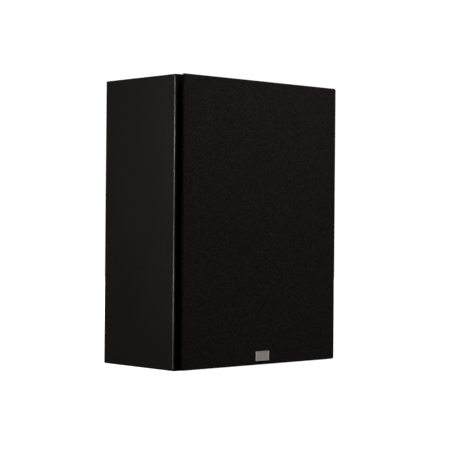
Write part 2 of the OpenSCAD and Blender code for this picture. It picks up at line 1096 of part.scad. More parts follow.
// plain plate with a raised rim
module grille_badge() {
    color([0.66, 0.65, 0.63]) {
        difference() {
            soft_plate(badge_w, badge_h, 1, cloth_front - badge_t, badge_t, 12.4);
            soft_plate(badge_w - 2.4, badge_h - 2.4, 0.5, cloth_front - badge_t - 1, 1.4, 12.4);
        }
        badge_places()
            cylinder(r = 0.9, h = 3 + cloth_t);
    }
}

// ---------- which part is built ----------

side_panel_left();
side_panel_right();
top_panel();
bottom_panel();
front_baffle();
back_panel();
cabinet_brace();
wadding_left();
wadding_right();
woofer_basket();
woofer_trim_ring();
woofer_top_plate();
woofer_magnet();
woofer_pole_plate();
woofer_terminal_strip();
woofer_tabs();
woofer_screws();
woofer_surround();
woofer_spider();
woofer_tinsel_leads();
woofer_cone();
woofer_dust_cap();
woofer_coil_former();
woofer_voice_coil();
tweeter_faceplate();
tweeter_spacer();
tweeter_top_plate();
tweeter_magnet();
tweeter_pole_plate();
tweeter_rear_chamber();
tweeter_terminal_block();
tweeter_tabs();
tweeter_screws();
tweeter_surround();
tweeter_dome();
tweeter_voice_coil();
crossover_board();
crossover_standoffs();
crossover_screws();
inductor_bobbins();
inductor_coils();
film_capacitors();
power_resistors();
red_leads();
black_leads();
terminal_cup();
terminal_gasket();
terminal_screws();
post_cores();
post_nuts();
solder_tags();
post_washer_positive();
post_washer_negative();
post_knob_positive();
post_knob_negative();
peg_sockets();
grille_frame();
grille_pegs();
grille_cloth();
grille_badge();
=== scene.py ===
"""Looks for the bookshelf speaker: camera, studio, materials and soft pieces round the CAD model."""

import math
import random

import bmesh
import bpy
from mathutils import Matrix, Vector


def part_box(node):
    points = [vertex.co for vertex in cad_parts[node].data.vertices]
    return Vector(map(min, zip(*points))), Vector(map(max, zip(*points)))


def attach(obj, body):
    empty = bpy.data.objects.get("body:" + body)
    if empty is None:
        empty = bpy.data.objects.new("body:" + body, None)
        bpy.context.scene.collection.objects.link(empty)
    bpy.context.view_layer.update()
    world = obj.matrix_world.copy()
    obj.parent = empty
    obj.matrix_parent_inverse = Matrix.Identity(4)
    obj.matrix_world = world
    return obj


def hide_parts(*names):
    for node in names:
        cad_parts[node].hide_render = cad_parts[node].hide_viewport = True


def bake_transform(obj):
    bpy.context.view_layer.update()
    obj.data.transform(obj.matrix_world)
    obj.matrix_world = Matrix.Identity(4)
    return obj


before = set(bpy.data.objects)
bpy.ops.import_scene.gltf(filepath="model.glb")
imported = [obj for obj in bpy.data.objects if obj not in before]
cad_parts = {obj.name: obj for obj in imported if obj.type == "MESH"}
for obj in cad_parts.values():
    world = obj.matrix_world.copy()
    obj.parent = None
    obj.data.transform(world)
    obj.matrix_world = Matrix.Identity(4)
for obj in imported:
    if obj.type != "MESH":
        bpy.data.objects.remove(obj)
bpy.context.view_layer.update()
scene = bpy.context.scene
MM = 0.001

CAMERA_PLACE = (-1.2312, -1.3419, 0.1694)
CAMERA_YAW, CAMERA_PITCH, CAMERA_ROLL = 42.63, 0.103, 0.467
LENS, SENSOR = 115.2, 36
STAGE_RADIUS, STAGE_SPANS, DOME_RINGS = 12, 64, 12


# ---------------------------------------------------------------- camera and studio

def camera():
    """The photograph's viewpoint: a long lens at mid height, 43 degrees round to the left."""
    yaw, pitch, roll = (math.radians(a) for a in (CAMERA_YAW, CAMERA_PITCH, CAMERA_ROLL))
    ahead = Vector((math.sin(yaw) * math.cos(pitch), math.cos(yaw) * math.cos(pitch), math.sin(pitch)))
    level = Vector((math.cos(yaw), -math.sin(yaw), 0))
    up = level.cross(ahead)
    right = math.cos(roll) * level + math.sin(roll) * up
    top = -math.sin(roll) * level + math.cos(roll) * up
    data = bpy.data.cameras.new("camera")
    data.sensor_width = SENSOR
    data.lens = LENS
    data.clip_start, data.clip_end = 0.05, 60
    cam = bpy.data.objects.new("camera", data)
    scene.collection.objects.link(cam)
    turn = Matrix((right, top, -ahead)).transposed()
    cam.matrix_world = Matrix.Translation(CAMERA_PLACE) @ turn.to_4x4()
    scene.camera = cam


def area_light(name, place, target, size, power, tint=(1, 1, 1)):
    data = bpy.data.lights.new(name, "AREA")
    data.shape = "RECTANGLE"
    data.size, data.size_y = size
    data.energy = power
    data.color = tint
    lamp = bpy.data.objects.new(name, data)
    scene.collection.objects.link(lamp)
    lamp.location = place
    lamp.rotation_euler = (Vector(target) - Vector(place)).to_track_quat("-Z", "Y").to_euler()
    lamp.visible_camera = False
    return lamp


def spare(lamps, pieces):
    """Keeps the edge lights off the cloth, as a studio flag would."""
    group = bpy.data.collections.new("flagged")
    for p in pieces:
        group.objects.link(p)
    for c in group.collection_objects:
        c.light_linking.link_state = "EXCLUDE"
    for lamp in lamps:
        lamp.light_linking.receiver_collection = group


def glowing(obj_name, points, faces):
    """A white surface for the camera alone: it neither lights, shades nor reflects in the speaker."""
    mesh = bpy.data.meshes.new(obj_name)
    mesh.from_pydata(points, [], faces)
    white = Graph(obj_name + "_white").set(base=(0.86, 0.86, 0.86), rough=0.9, specular=0.1, glow=1.0)
    mesh.materials.append(white.mat)
    obj = bpy.data.objects.new(obj_name, mesh)
    scene.collection.objects.link(obj)
    obj.visible_glossy = obj.visible_diffuse = obj.visible_shadow = False


def studio():
    """A pale floor and backdrop, a dim room, and soft boxes."""
    world = bpy.data.worlds.new("world")
    scene.world = world
    world.use_nodes = True
    back = world.node_tree.nodes["Background"]
    back.inputs["Color"].default_value = (1, 0.9, 0.85, 1)
    back.inputs["Strength"].default_value = 0.05

    n = STAGE_SPANS
    turns = [2 * math.pi * i / n for i in range(n)]
    rim = [(STAGE_RADIUS * math.cos(a), STAGE_RADIUS * math.sin(a)) for a in turns]
    glowing("floor", [(x, y, 0) for x, y in rim], [list(range(n))])
    dome = []
    for k in range(DOME_RINGS):
        rise = math.pi * k / 2 / DOME_RINGS
        dome += [(x * math.cos(rise), y * math.cos(rise), STAGE_RADIUS * math.sin(rise)) for x, y in rim]
    faces = []
    for k in range(DOME_RINGS - 1):
        low, high = k * n, (k + 1) * n
        faces += [(low + i, low + (i + 1) % n, high + (i + 1) % n, high + i) for i in range(n)]
    faces.append(list(range((DOME_RINGS - 1) * n, DOME_RINGS * n)))
    glowing("backdrop", dome, faces)

    area_light("key_front", (-0.06, -0.56, 0.97), (-0.02, 0, 0.24), (0.55, 0.45), 3.75)
    area_light("front_right", (1.55, -1.9, 0.3), (0, 0, 0.1), (0.9, 0.9), 3)
    area_light("wall_left", (-1.85, 1.25, 1.05), (-0.13, 0, 0.2), (1.5, 2.0), 0.69, (1, 0.71, 0.61))
    area_light("edge_high", (-1.25, 0.36, 0.37), (-0.13, -0.06, 0.25), (0.12, 0.15), 4.4)
    area_light("edge_low", (-1.25, 0.36, 0.045), (-0.13, -0.06, 0.08), (0.12, 0.10), 3.1)
    area_light("back_right", (1.9, 2.0, 1.1), (0.05, 0.05, 0.15), (1.8, 1.6), 42)
    area_light("back_fill", (0.35, 2.6, 0.9), (0, 0.07, 0.12), (1.2, 1.2), 10)
    area_light("right_fill", (2.3, 0.95, 0.6), (0.13, 0, 0.15), (1.0, 1.2), 9)
    scene.view_settings.view_transform = "Standard"


# ---------------------------------------------------------------- material building

class Graph:
    """A Principled material with a few helpers for procedural detail, in row-frame metres."""

    def __init__(self, name):
        self.mat = bpy.data.materials.new(name)
        self.mat.use_nodes = True
        self.nt = self.mat.node_tree
        self.bsdf = self.nt.nodes["Principled BSDF"]
        self.place = self.nt.nodes.new("ShaderNodeTexCoord").outputs["Object"]

    def node(self, kind, **values):
        n = self.nt.nodes.new(kind)
        for k, v in values.items():
            setattr(n, k, v)
        return n

    def link(self, a, b):
        self.nt.links.new(a, b)

    def set(self, base=None, rough=None, metal=None, specular=None, coat=None, coat_rough=None,
            sheen=None, sheen_rough=None, glow=None):
        for socket, v in (("Roughness", rough), ("Metallic", metal), ("Specular IOR Level", specular),
                          ("Coat Weight", coat), ("Coat Roughness", coat_rough),
                          ("Sheen Weight", sheen), ("Sheen Roughness", sheen_rough),
                          ("Emission Strength", glow)):
            if v is not None:
                self.bsdf.inputs[socket].default_value = v
        if glow is not None:
            self.bsdf.inputs["Emission Color"].default_value = (1, 1, 1, 1)
        if base is not None:
            self.bsdf.inputs["Base Color"].default_value = (*base, 1)
        return self

    def noise(self, scale, detail=3, rough=0.5, stretch=None):
        n = self.node("ShaderNodeTexNoise")
        n.inputs["Scale"].default_value = scale
        n.inputs["Detail"].default_value = detail
        n.inputs["Roughness"].default_value = rough
        self.link(self.stretched(stretch), n.inputs["Vector"])
        return n.outputs["Fac"]

    def cells(self, scale):
        n = self.node("ShaderNodeTexVoronoi", feature="F1")
        n.inputs["Scale"].default_value = scale
        self.link(self.place, n.inputs["Vector"])
        return n.outputs["Distance"]

    def stretched(self, stretch):
        if stretch is None:
            return self.place
        m = self.node("ShaderNodeMapping")
        m.inputs["Scale"].default_value = stretch
        self.link(self.place, m.inputs["Vector"])
        return m.outputs["Vector"]

    def remap(self, value, low, high, to_low=0.0, to_high=1.0):
        n = self.node("ShaderNodeMapRange", interpolation_type="LINEAR")
        for socket, v in (("From Min", low), ("From Max", high), ("To Min", to_low), ("To Max", to_high)):
            n.inputs[socket].default_value = v
        self.link(value, n.inputs["Value"])
        return n.outputs["Result"]

    def math(self, op, a, b=None):
        n = self.node("ShaderNodeMath", operation=op)
        for i, v in enumerate((a, b)):
            if v is None:
                continue
            if isinstance(v, (int, float)):
                n.inputs[i].default_value = v
            else:
                self.link(v, n.inputs[i])
        return n.outputs[0]

    def axis(self, which):
        n = self.node("ShaderNodeSeparateXYZ")
        self.link(self.place, n.inputs[0])
        return n.outputs[which]

    def mix(self, factor, a, b):
        n = self.node("ShaderNodeMix", data_type="RGBA")
        self.link(factor, n.inputs[0])
        for i, v in ((6, a), (7, b)):
            if isinstance(v, tuple):
                n.inputs[i].default_value = (*v, 1)
            else:
                self.link(v, n.inputs[i])
        return n.outputs[2]

    def colour(self, value):
        self.link(value, self.bsdf.inputs["Base Color"])
        return self

    def rough(self, value):
        self.link(value, self.bsdf.inputs["Roughness"])
        return self

    def bump(self, height, distance, strength=1.0):
        n = self.node("ShaderNodeBump")
        n.inputs["Distance"].default_value = distance
        n.inputs["Strength"].default_value = strength
        self.link(height, n.inputs["Height"])
        old = self.bsdf.inputs["Normal"].links
        if old:
            self.link(old[0].from_socket, n.inputs["Normal"])
        self.link(n.outputs["Normal"], self.bsdf.inputs["Normal"])
        return self


def satin_lacquer(name, dark, light, rough_low, rough_high):
    """Sprayed satin paint: faint orange peel, uneven gloss and a few settled dust specks."""
    g = Graph(name).set(specular=0.5)
    fine = g.noise(700, 2, 0.6)
    grain = g.remap(fine, 0.35, 0.65)
    specks = g.remap(g.noise(2600, 1), 0.78, 0.84)
    base = g.mix(grain, dark, light)
    g.colour(g.mix(g.math("MULTIPLY", specks, 0.5), base, (0.05, 0.048, 0.045)))
    gloss = g.math("ADD", g.noise(11, 2), g.math("MULTIPLY", fine, 0.7))
    g.rough(g.remap(gloss, 0.55, 1.15, rough_low, rough_high))
    g.bump(g.noise(300, 2), 0.000006)
    g.bump(g.noise(1500, 2), 0.000008)
    return g.mat


def cloth_black(name):
    """Open-weave speaker cloth: warp and weft threads, slubs, a mottled pile and painted glints on a few
    fibres.
    """
    g = Graph(name).set(rough=0.92, specular=0.12, sheen=0.06, sheen_rough=0.6)
    pitch = 0.0009
    waves = []
    for i, other in ((0, 2), (2, 0)):
        across = g.math("SINE", g.math("MULTIPLY", g.axis(i), 2 * math.pi / pitch))
        along = g.math("SINE", g.math("MULTIPLY", g.axis(other), math.pi / pitch))
        waves.append(g.math("ADD", across, g.math("MULTIPLY", along, 0.35)))
    weave = g.remap(g.math("MAXIMUM", waves[0], waves[1]), -0.4, 1.3)
    slub = g.noise(820, 1, 0.4)
    # painted highlight: a few fibres are made lighter in colour to stand for glints of light on the pile
    painted_fibre_glints = g.remap(g.noise(640, 0), 0.70, 0.76)
    mottle = g.noise(150, 3, 0.6)
    tone = g.math("MULTIPLY", g.remap(slub, 0.45, 0.55, -0.25, 2.05), g.remap(mottle, 0.3, 0.7, 0.85, 1.15))
    tone = g.math("MULTIPLY", tone, g.remap(weave, 0, 1, 0.7, 1.1))
    tone = g.math("ADD", g.remap(tone, 0, 2.2), g.math("MULTIPLY", painted_fibre_glints, 0.9))
    warm = g.mix(tone, (0.0030, 0.0020, 0.0017), (0.0345, 0.0208, 0.0182))
    cool = g.mix(tone, (0.0025, 0.0020, 0.0021), (0.0235, 0.0178, 0.0180))
    g.colour(g.mix(g.remap(g.noise(900, 1, 0.5), 0.45, 0.55), warm, cool))
    g.bump(weave, 0.00022)
    g.bump(slub, 0.00018)
    return g.mat


def painted_board(name, dark, light, rough_low=0.55, rough_high=0.72):
    """Matt paint over a fibre board, with roller stipple."""
    g = Graph(name).set(specular=0.3)
    g.colour(g.mix(g.noise(60, 4), dark, light))
    g.rough(g.remap(g.noise(90, 3), 0.3, 0.7, rough_low, rough_high))
    g.bump(g.noise(900, 3), 0.00008)
    return g.mat


def raw_board(name):
    """Bare fibre board: fine fibres and flecks."""
    g = Graph(name).set(rough=0.85, specular=0.2)
    fibre = g.noise(900, 4, 0.7, stretch=(1, 0.4, 1))
    g.colour(g.mix(g.remap(fibre, 0.3, 0.7), (0.30, 0.21, 0.125), (0.52, 0.39, 0.25)))
    g.bump(fibre, 0.00015)
    return g.mat


def plastic(name, base, rough, grain=1500, depth=0.00005, vary=0.06, specular=0.5):
    """Moulded plastic with an even spark-eroded grain."""
    g = Graph(name).set(specular=specular)
    darker = tuple(c * 0.8 for c in base)
    g.colour(g.mix(g.noise(45, 3), darker, base))
    g.rough(g.remap(g.noise(70, 3), 0.3, 0.7, rough - vary, rough + vary))
    g.bump(g.cells(grain), depth)
    return g.mat


def rubber(name, base=(0.010, 0.010, 0.010), rough=0.62):
    g = Graph(name).set(specular=0.4, sheen=0.05)
    bloom = g.noise(55, 5, 0.65)
    lighter = tuple(c * 2.0 + 0.004 for c in base)
    g.colour(g.mix(g.remap(bloom, 0.45, 0.75), base, lighter))
    g.rough(g.remap(g.noise(120, 3), 0.3, 0.7, rough - 0.08, rough + 0.1))
    g.bump(g.noise(2200, 2), 0.00004)
    return g.mat


def metal(name, base, rough, stretch=(1, 1, 1), scale=500, depth=0.00002, tarnish=None):
    """Plain metal with fine directional marks and uneven tarnish."""
    g = Graph(name).set(metal=1.0)
    tarnish = tarnish or tuple(c * 0.62 for c in base)
    g.colour(g.mix(g.remap(g.noise(80, 5, 0.65), 0.35, 0.75), base, tarnish))
    marks = g.noise(scale, 4, 0.6, stretch=stretch)
    g.rough(g.remap(marks, 0.3, 0.7, rough - 0.07, rough + 0.1))
    g.bump(marks, depth)
    return g.mat


def powder_coat(name, base=(0.012, 0.012, 0.0125)):
    g = Graph(name).set(specular=0.45)
    g.colour(g.mix(g.noise(40, 3), base, tuple(c * 1.5 for c in base)))
    g.rough(g.remap(g.noise(60, 3), 0.3, 0.7, 0.42, 0.55))
    g.bump(g.noise(1300, 2, 0.4), 0.00012)
    return g.mat


def paper_pulp(name, base=(0.013, 0.013, 0.0135)):
    """Pressed paper pulp with short random fibres."""
    g = Graph(name).set(rough=0.74, specular=0.3, sheen=0.08)
    fibre = g.noise(650, 5, 0.75)
    long_fibre = g.noise(190, 4, 0.7, stretch=(1, 1, 0.3))
    g.colour(g.mix(g.remap(fibre, 0.35, 0.75), base, tuple(c * 2.3 for c in base)))
    g.bump(fibre, 0.00018)
    g.bump(long_fibre, 0.00012)
    return g.mat


def woven(name, dark, light, pitch=0.0007, rough=0.75, depth=0.00012, coat=None):
    """Cotton or silk cloth seen close to, woven square to the row axes."""
    g = Graph(name).set(rough=rough, specular=0.35)
    if coat:
        g.set(coat=coat, coat_rough=0.3)
    x = g.math("SINE", g.math("MULTIPLY", g.axis(0), 2 * math.pi / pitch))
    z = g.math("SINE", g.math("MULTIPLY", g.axis(2), 2 * math.pi / pitch))
    grid = g.math("MULTIPLY", x, z)
    g.colour(g.mix(g.remap(g.noise(300, 4, 0.6), 0.3, 0.7), dark, light))
    g.bump(grid, depth)
    return g.mat


def ferrite(name):
    g = Graph(name).set(specular=0.4)
    grain = g.noise(500, 4, 0.6)
    g.colour(g.mix(g.remap(grain, 0.3, 0.75), (0.018, 0.018, 0.019), (0.055, 0.054, 0.054)))
    g.rough(g.remap(g.noise(120, 3), 0.3, 0.7, 0.45, 0.65))
    g.bump(grain, 0.00008)
    return g.mat


def wound_copper(name):
    """Enamelled wire: fine turns side by side."""
    g = Graph(name).set(metal=1.0, coat=0.6, coat_rough=0.15)
    turns = g.math("SINE", g.math("MULTIPLY", g.axis(2), 2 * math.pi / 0.0008))
    g.colour(g.mix(g.remap(g.noise(200, 4), 0.3, 0.7), (0.42, 0.15, 0.06), (0.66, 0.30, 0.13)))
    g.rough(g.remap(g.noise(150, 3), 0.3, 0.7, 0.24, 0.38))
    g.bump(turns, 0.0002)
    return g.mat


def wadding_white(name):
    g = Graph(name).set(rough=0.95, specular=0.1, sheen=0.4, sheen_rough=0.7)
    tufts = g.noise(160, 6, 0.75)
    g.colour(g.mix(g.remap(tufts, 0.3, 0.7), (0.60, 0.59, 0.56), (0.86, 0.86, 0.83)))
    g.bump(tufts, 0.0015)
    g.bump(g.noise(900, 4, 0.8), 0.0006)
    return g.mat


def printed_board(name):
    g = Graph(name).set(rough=0.5, specular=0.45)
    layers = g.noise(120, 5, 0.7, stretch=(1, 0.3, 1))
    g.colour(g.mix(g.remap(layers, 0.3, 0.7), (0.17, 0.105, 0.045), (0.30, 0.20, 0.09)))
    g.bump(g.noise(700, 3), 0.00006)
    return g.mat


def badge_plate(name):
    """Brushed plate with a polished rim at its two ends."""
    g = Graph(name).set(metal=1.0)
    marks = g.noise(900, 4, 0.6, stretch=(0.15, 1, 6))
    rim = g.remap(g.math("ABSOLUTE", g.axis(0)), 0.0096, 0.0100)
    field = g.mix(g.remap(marks, 0.3, 0.7), (0.54, 0.475, 0.435), (0.73, 0.66, 0.61))
    g.colour(g.mix(rim, field, (0.95, 0.94, 0.96)))
    g.rough(g.remap(g.math("SUBTRACT", marks, g.math("MULTIPLY", rim, 0.4)), 0.0, 0.7, 0.30, 0.44))
    g.bump(marks, 0.00002)
    return g.mat


MATERIALS = {}


def make_materials():
    m = MATERIALS
    m["cabinet"] = satin_lacquer("satin_black_lacquer", (0.0036, 0.0027, 0.0023), (0.0080, 0.0060, 0.0052),
                                 0.23, 0.27)
    m["baffle"] = painted_board("baffle_matt_black", (0.0020, 0.0020, 0.0020), (0.0034, 0.0034, 0.0034))
    m["grille_board"] = painted_board("grille_board_black", (0.003, 0.003, 0.003), (0.006, 0.006, 0.006))
    m["cloth"] = cloth_black("speaker_cloth")
    m["raw"] = raw_board("raw_fibre_board")
    m["plastic"] = plastic("grained_black_plastic", (0.012, 0.012, 0.0125), 0.45)
    m["faceplate"] = plastic("faceplate_plastic", (0.010, 0.010, 0.0105), 0.42, grain=2300, depth=0.00004)
    m["nylon"] = plastic("natural_nylon", (0.72, 0.72, 0.68), 0.45, grain=600, depth=0.00002)
    m["bobbin"] = plastic("bobbin_nylon", (0.014, 0.014, 0.016), 0.35, grain=900, depth=0.00002)
    m["film"] = plastic("film_wrap", (0.70, 0.50, 0.06), 0.28, grain=260, depth=0.00006)
    m["cement"] = plastic("white_cement", (0.70, 0.68, 0.62), 0.75, grain=1700, depth=0.00012)
    m["red_pvc"] = plastic("red_pvc", (0.42, 0.012, 0.012), 0.38, grain=500, depth=0.00002)
    m["black_pvc"] = plastic("black_pvc", (0.012, 0.012, 0.012), 0.38, grain=500, depth=0.00002)
    m["red_knob"] = plastic("red_knob", (0.36, 0.008, 0.010), 0.25, grain=1500, depth=0.00002)
    m["black_knob"] = plastic("black_knob", (0.010, 0.010, 0.011), 0.25, grain=1500, depth=0.00002)
    m["rubber"] = rubber("butyl_rubber")
    m["foam"] = rubber("closed_cell_foam", (0.016, 0.016, 0.016), 0.85)
    m["socket"] = rubber("socket_rubber", (0.012, 0.012, 0.012), 0.7)
    m["coat"] = powder_coat("basket_powder_coat")
    m["screw"] = metal("black_phosphate", (0.045, 0.045, 0.047), 0.42)
    m["steel"] = metal("zinc_plate", (0.62, 0.62, 0.60), 0.3)
    m["brass"] = metal("gold_plate", (0.80, 0.56, 0.23), 0.2)
    m["badge"] = badge_plate("badge_satin")
    m["pulp"] = paper_pulp("cone_pulp")
    m["former"] = woven("former_paper", (0.40, 0.28, 0.10), (0.60, 0.45, 0.20), 0.0009, 0.6)
    m["spider"] = woven("spider_cotton", (0.30, 0.19, 0.06), (0.52, 0.36, 0.14), 0.0008, 0.8, 0.0002)
    m["silk"] = woven("doped_silk", (0.010, 0.010, 0.011), (0.017, 0.017, 0.018), 0.00035, 0.5, 0.00004,
                      coat=0.35)
    m["ferrite"] = ferrite("ferrite_ground")
    m["copper"] = wound_copper("enamelled_copper")
    m["wadding"] = wadding_white("polyester_wadding")
    m["phenolic"] = printed_board("phenolic_board")
    m["braid"] = metal("tinsel_braid", (0.72, 0.42, 0.24), 0.35, scale=2500, depth=0.00015)


# material and nodes that keep their CAD shape
DRESS = {
    "cabinet": ["side_panel_left", "side_panel_right", "top_panel", "bottom_panel", "back_panel"],
    "baffle": ["front_baffle"],
    "grille_board": ["grille_frame"],
    "raw": ["cabinet_brace"],
    "plastic": ["tweeter_spacer", "tweeter_rear_chamber", "terminal_cup", "grille_pegs"],
    "faceplate": ["tweeter_faceplate"],
    "nylon": ["crossover_standoffs"],
    "bobbin": ["inductor_bobbins"],
    "film": ["film_capacitors"],
    "cement": ["power_resistors"],
    "red_pvc": ["red_leads"],
    "black_pvc": ["black_leads"],
    "red_knob": ["post_knob_positive"],
    "black_knob": ["post_knob_negative"],
    "rubber": ["woofer_trim_ring"],
    "foam": ["terminal_gasket"],
    "socket": ["peg_sockets"],
    "coat": ["woofer_basket"],
    "screw": ["woofer_screws", "tweeter_screws", "terminal_screws"],
    "steel": ["woofer_top_plate", "woofer_pole_plate", "tweeter_top_plate", "tweeter_pole_plate",
              "crossover_screws", "post_nuts"],
    "brass": ["woofer_tabs", "tweeter_tabs", "post_cores", "solder_tags", "post_washer_positive",
              "post_washer_negative"],
    "badge": ["grille_badge"],
    "pulp": ["woofer_cone", "woofer_dust_cap"],
    "former": ["woofer_coil_former"],
    "silk": ["tweeter_dome"],
    "ferrite": ["woofer_magnet", "tweeter_magnet"],
    "copper": ["woofer_voice_coil", "tweeter_voice_coil", "inductor_coils"],
    "phenolic": ["woofer_terminal_strip", "tweeter_terminal_block", "crossover_board"],
}


def dress_cad():
    for key, nodes in DRESS.items():
        for n in nodes:
            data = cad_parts[n].data
            data.materials.clear()
            data.materials.append(MATERIALS[key])


# ---------------------------------------------------------------- mesh helpers

def new_object(name, points, faces, material):
    mesh = bpy.data.meshes.new(name)
    mesh.from_pydata([tuple(p) for p in points], [], faces)
    mesh.validate()
    mesh.update()
    for f in mesh.polygons:
        f.use_smooth = True
    mesh.materials.append(MATERIALS[material])
    obj = bpy.data.objects.new(name, mesh)
    scene.collection.objects.link(obj)
    return obj


def revolve(name, outline, centre, material, n=128):
    """A closed outline of (radius, depth) in mm, turned round the driver's axis. Depth runs back along +Y."""
    points, faces, k = [], [], len(outline)
    for i in range(n):
        a = 2 * math.pi * i / n
        for r, d in outline:
            x, z = r * MM * math.cos(a), r * MM * math.sin(a)
            points.append((centre[0] + x, centre[1] + d * MM, centre[2] + z))
    for i in range(n):
        j = (i + 1) % n
        for p in range(k):
            q = (p + 1) % k
            faces.append((i * k + p, i * k + q, j * k + q, j * k + p))
    return new_object(name, points, faces, material)


def radial_blend(obj):
    """Bakes the ring's placement into its mesh; the ring is not bent."""
    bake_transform(obj)


def arc(cx, cy, r, a0, a1, n):
    return [(cx + r * math.cos(math.radians(a0 + (a1 - a0) * i / n)),
             cy + r * math.sin(math.radians(a0 + (a1 - a0) * i / n))) for i in range(n + 1)]


# ---------------------------------------------------------------- positions read from the frame

baffle_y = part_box("front_baffle")[0].y
flange_low, flange_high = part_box("woofer_basket")
woofer = (0.0, baffle_y, (flange_low.z + flange_high.z) / 2)
plate_low, plate_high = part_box("tweeter_faceplate")
tweeter = (0.0, baffle_y, (plate_low.z + plate_high.z) / 2)
cloth_low, cloth_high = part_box("grille_cloth")


# ---------------------------------------------------------------- soft pieces

def rounded_outline(w, h, r, nx, nz, nc):
    """Points round a rectangle from its low left corner: nx and nz spans a side, nc a corner."""
    points = []
    r = max(r, 0.0)
    cx, cz = w / 2 - r, h / 2 - r
    corners = ((cx, -cz, 270), (cx, cz, 0), (-cx, cz, 90), (-cx, -cz, 180))
    starts = ((-cx, -h / 2), (w / 2, -cz), (cx, h / 2), (-w / 2, cz))
    ends = ((cx, -h / 2), (w / 2, cz), (-cx, h / 2), (-w / 2, -cz))
    for side, count in enumerate((nx, nz, nx, nz)):
        (x0, z0), (x1, z1) = starts[side], ends[side]
        points += [(x0 + (x1 - x0) * i / count, z0 + (z1 - z0) * i / count) for i in range(count)]
        mid_x, mid_z, turn = corners[side]
        for i in range(nc):
            a = math.radians(turn + 90 * i / nc)
            points.append((mid_x + r * math.cos(a), mid_z + r * math.sin(a)))
    return points


# the grille board's edge in mm: front radius, straight edge, depth of the layer, corner radius
EDGE_SOFT, EDGE_SIDE, EDGE_BACK, EDGE_CORNER = 2.0, 2.6, 5.6, 2.5
CLOTH_NX, CLOTH_NZ, CLOTH_NC = 64, 86, 6
CLOTH_T = 0.45
GATHER, GATHER_REACH, GATHER_RATE = 0.25, 0.022, 1400
DIP, UNEVEN = 0.12, 0.004


def cloth_path():
    """(inset, depth) in mm from the front's middle outwards, ending on the board's back."""
    path = [(3.2, 0.0), (2.6, 0.0)]
    for a in (math.radians(d) for d in (0, 18, 36, 54, 72, 90)):
        path.append((EDGE_SOFT - EDGE_SOFT * math.sin(a), EDGE_SOFT - EDGE_SOFT * math.cos(a)))
    side, back = EDGE_SIDE, EDGE_BACK
    path += [(0.0, side), (0.35, side + 0.45), (1.0, side + 1.0), (2.0, side + 2.0), (2.9, back - 0.1)]
    return path + [(3.5, back + 0.15), (4.5, back + 0.2), (7.0, back + 0.2), (10.6, back + 0.2)]


def gathered(x, z, w, h, depth):
    """The cloth gathers a little behind the edge, where it turns the corners."""
    if depth <= EDGE_SIDE + 1.5:
        return depth
    near = max(0.0, 1 - math.hypot(abs(x) - w / 2, abs(z) - h / 2) / GATHER_REACH)
    return depth + GATHER * near * math.sin(GATHER_RATE * (x - z)) * (depth - EDGE_SIDE) / 3


def cloth_front(points, first, iw, ih, y0, mid):
    """Fills the front inside the first ring with a grid, and returns its faces."""
    nx, nz, nc = CLOTH_NX, CLOTH_NZ, CLOTH_NC
    rng = random.Random(4)
    marks = [0, nx + nc, nx + nc + nz + nc, 2 * nx + 3 * nc + nz]
    grid = {}
    for i in range(nx + 1):
        for k in range(nz + 1):
            if k == 0 and i < nx:
                grid[i, k] = first[marks[0] + i]
            elif i == nx and k < nz:
                grid[i, k] = first[marks[1] + k]
            elif k == nz and i > 0:
                grid[i, k] = first[marks[2] + nx - i]
            elif i == 0 and k > 0:
                grid[i, k] = first[marks[3] + nz - k]
            else:
                x, z = -iw / 2 + iw * i / nx, -ih / 2 + ih * k / nz
                dip = DIP * MM * math.sin(math.pi * i / nx) * abs(math.sin(2 * math.pi * k / nz)) ** 0.5
                grid[i, k] = len(points)
                points.append((x, y0 + dip + rng.uniform(-1, 1) * UNEVEN * MM, mid + z))
    return [(grid[i, k], grid[i + 1, k], grid[i + 1, k + 1], grid[i, k + 1])
            for i in range(nx) for k in range(nz)]


def grille_cloth():
    """One sheet pulled over the board: flat front, round the edge, down the chamfer and onto the back."""
    w, h = cloth_high.x - cloth_low.x, cloth_high.z - cloth_low.z
    mid = (cloth_low.z + cloth_high.z) / 2
    y0 = cloth_low.y
    path = cloth_path()
    points, faces, rings = [], [], []
    for inset, depth in path:
        ring = []
        radius = (EDGE_CORNER - inset) * MM if inset < EDGE_CORNER else 0
        inner_w, inner_h = w - 2 * inset * MM, h - 2 * inset * MM
        for x, z in rounded_outline(inner_w, inner_h, radius, CLOTH_NX, CLOTH_NZ, CLOTH_NC):
            ring.append(len(points))
            points.append((x, y0 + gathered(x, z, w, h, depth) * MM, mid + z))
        rings.append(ring)
    for a, b in zip(rings, rings[1:]):
        n = len(a)
        faces += [(a[i], a[(i + 1) % n], b[(i + 1) % n], b[i]) for i in range(n)]
    inset = path[0][0]
    faces += cloth_front(points, rings[0], w - 2 * inset * MM, h - 2 * inset * MM, y0, mid)
    obj = new_object("grille_cloth_sheet", points, faces, "cloth")
    merge_close(obj, 1e-7)
    thick = obj.modifiers.new("thickness", "SOLIDIFY")
    thick.thickness = CLOTH_T * MM
    thick.offset = -1
    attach(obj, "grille")
    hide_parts("grille_cloth")
    spare([bpy.data.objects["edge_high"], bpy.data.objects["edge_low"]], [obj])


def merge_close(obj, distance):
    bm = bmesh.new()
    bm.from_mesh(obj.data)
    bmesh.ops.remove_doubles(bm, verts=bm.verts, dist=distance)
    bmesh.ops.recalc_face_normals(bm, faces=bm.faces)
    bm.to_mesh(obj.data)
    bm.free()
    for f in obj.data.polygons:
        f.use_smooth = True


